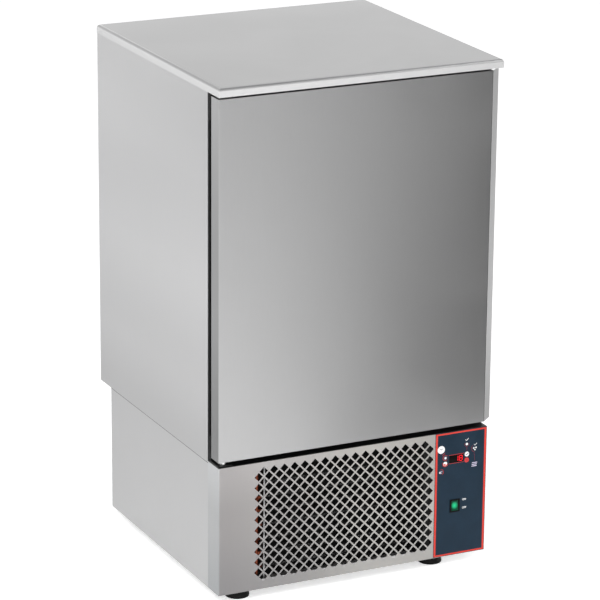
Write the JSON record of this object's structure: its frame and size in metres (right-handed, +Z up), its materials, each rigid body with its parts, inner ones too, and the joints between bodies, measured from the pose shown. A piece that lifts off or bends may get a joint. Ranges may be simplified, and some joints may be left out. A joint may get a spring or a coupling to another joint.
{
  "type": "blast chiller",
  "caption": "Upright insulated blast chiller with a side-hinged door, tray racks, a punched grille over its machinery base, a touch-key fascia and levelling feet.",
  "frame": {"origin": "on the floor, in the middle of the overall width and depth", "axes": "+X to the right seen from the front, +Y to the back, +Z up; the door and the grille face -Y"},
  "size_m": [0.75, 0.74, 1.29],
  "materials": {
    "stainless_panel": "satin brushed stainless sheet",
    "worktop_steel": "satin brushed stainless sheet, pressed",
    "door_steel": "satin stainless sheet, vertical grain",
    "liner_steel": "bright satin stainless",
    "galvanised_steel": "galvanised sheet",
    "insulation_foam": "closed-cell polyurethane foam",
    "board_core": "stiffening board",
    "black_plastic": "black moulded plastic",
    "gasket_rubber": "grey magnetic gasket",
    "nylon": "white nylon",
    "pin_steel": "bright turned steel",
    "bracket_steel": "dark plated steel",
    "rack_wire": "polished stainless",
    "coil_metal": "aluminium fins",
    "fan_plastic": "black moulded blades",
    "motor_metal": "dark grey enamel",
    "guard_wire": "plated wire",
    "compressor_paint": "black gloss enamel",
    "grommet_rubber": "black rubber",
    "copper_pipe": "copper tube",
    "drier_copper": "copper can",
    "drain_plastic": "grey plastic tube",
    "foot_plastic": "black plastic foot",
    "fascia_film": "printed film, dark blue with a red border",
    "window_plastic": "smoked display window",
    "key_white": "white key cap",
    "key_blue": "dark key cap with a printed ring",
    "board_green": "circuit board",
    "switch_black": "black switch body",
    "rocker_green": "lit green rocker",
    "gland_plastic": "black nylon gland",
    "rivet_metal": "aluminium rivet heads"
  },
  "bodies": {
    "cabinet": {"base_pan": "galvanised_steel", "base_rear_panel": "galvanised_steel", "base_side_left": "stainless_panel", "base_side_right": "stainless_panel", "cabinet_insulation": "insulation_foam", "cable_gland": "gland_plastic", "chamber_liner": "liner_steel", "compressor": "compressor_paint", "compressor_grommets": "grommet_rubber", "condenser_coil": "coil_metal", "condenser_fan_motor": "motor_metal", "condenser_shroud": "galvanised_steel", "control_board": "board_green", "control_box": "galvanised_steel", "control_fascia": "fascia_film", "display_window": "window_plastic", "drain_pipe": "drain_plastic", "drip_tray": "liner_steel", "evaporator_coil": "coil_metal", "evaporator_fan_motors": "motor_metal", "fan_guards": "guard_wire", "fan_panel": "liner_steel", "filter_drier": "drier_copper", "front_frame": "black_plastic", "hinge_bracket_lower": "bracket_steel", "hinge_bracket_upper": "bracket_steel", "hinge_pins": "pin_steel", "lower_front_panel": "stainless_panel", "panel_rivets": "rivet_metal", "refrigerant_pipes": "copper_pipe", "rocker_housing": "switch_black", "terminal_cover": "black_plastic", "tray_rack_left": "rack_wire", "tray_rack_right": "rack_wire", "upper_floor_panel": "galvanised_steel", "upper_rear_panel": "galvanised_steel", "upper_side_panel_left": "stainless_panel", "upper_side_panel_right": "stainless_panel", "worktop": "worktop_steel", "worktop_board": "board_core"},
    "door": {"door_outer_skin": "door_steel", "door_grip_profile": "door_steel", "door_inner_liner": "liner_steel", "door_insulation": "insulation_foam", "door_gasket": "gasket_rubber", "hinge_bushes": "nylon"},
    "evaporator_fan_lower": {"evaporator_fan_lower": "fan_plastic"},
    "evaporator_fan_upper": {"evaporator_fan_upper": "fan_plastic"},
    "condenser_fan": {"condenser_fan": "fan_plastic"},
    "rocker": {"rocker_switch": "rocker_green"},
    "key_timer": {"key_timer": "key_white"},
    "key_set": {"key_set": "key_white"},
    "key_down": {"key_down": "key_white"},
    "key_sound": {"key_sound": "key_blue"},
    "key_chill": {"key_chill": "key_white"},
    "key_freeze": {"key_freeze": "key_white"},
    "foot_front_left": {"foot_front_left": "foot_plastic"},
    "foot_front_right": {"foot_front_right": "foot_plastic"},
    "foot_rear_left": {"foot_rear_left": "foot_plastic"},
    "foot_rear_right": {"foot_rear_right": "foot_plastic"}
  },
  "joints": [
    {"name": "door_hinge", "type": "hinge", "parent": "cabinet", "child": "door", "pos_m": [-0.356, -0.349, 0.37], "axis": [0, 0, -1], "range_deg": [0, 110]},
    {"name": "lower_evaporator_fan_spin", "type": "hinge", "parent": "cabinet", "child": "evaporator_fan_lower", "pos_m": [0, 0.13, 0.621], "axis": [0, 1, 0], "continuous": true},
    {"name": "upper_evaporator_fan_spin", "type": "hinge", "parent": "cabinet", "child": "evaporator_fan_upper", "pos_m": [0, 0.13, 1.001], "axis": [0, 1, 0], "continuous": true},
    {"name": "condenser_fan_spin", "type": "hinge", "parent": "cabinet", "child": "condenser_fan", "pos_m": [-0.03, -0.245, 0.195], "axis": [0, 1, 0], "continuous": true},
    {"name": "rocker_tilt", "type": "hinge", "parent": "cabinet", "child": "rocker", "pos_m": [0.2705, -0.3644, 0.16], "axis": [1, 0, 0], "range_deg": [0, 10]},
    {"name": "key_timer_press", "type": "slide", "parent": "cabinet", "child": "key_timer", "axis": [0, 1, 0], "range_m": [0, 0.0006], "stiffness_N_per_m": 400},
    {"name": "key_set_press", "type": "slide", "parent": "cabinet", "child": "key_set", "axis": [0, 1, 0], "range_m": [0, 0.0006], "stiffness_N_per_m": 400},
    {"name": "key_down_press", "type": "slide", "parent": "cabinet", "child": "key_down", "axis": [0, 1, 0], "range_m": [0, 0.0006], "stiffness_N_per_m": 400},
    {"name": "key_sound_press", "type": "slide", "parent": "cabinet", "child": "key_sound", "axis": [0, 1, 0], "range_m": [0, 0.0006], "stiffness_N_per_m": 400},
    {"name": "key_chill_press", "type": "slide", "parent": "cabinet", "child": "key_chill", "axis": [0, 1, 0], "range_m": [0, 0.0006], "stiffness_N_per_m": 400},
    {"name": "key_freeze_press", "type": "slide", "parent": "cabinet", "child": "key_freeze", "axis": [0, 1, 0], "range_m": [0, 0.0006], "stiffness_N_per_m": 400},
    {"name": "foot_front_left_screw", "type": "slide", "parent": "cabinet", "child": "foot_front_left", "axis": [0, 0, -1], "range_m": [0, 0.015]},
    {"name": "foot_front_right_screw", "type": "slide", "parent": "cabinet", "child": "foot_front_right", "axis": [0, 0, -1], "range_m": [0, 0.015]},
    {"name": "foot_rear_left_screw", "type": "slide", "parent": "cabinet", "child": "foot_rear_left", "axis": [0, 0, -1], "range_m": [0, 0.015]},
    {"name": "foot_rear_right_screw", "type": "slide", "parent": "cabinet", "child": "foot_rear_right", "axis": [0, 0, -1], "range_m": [0, 0.015]}
  ]
}
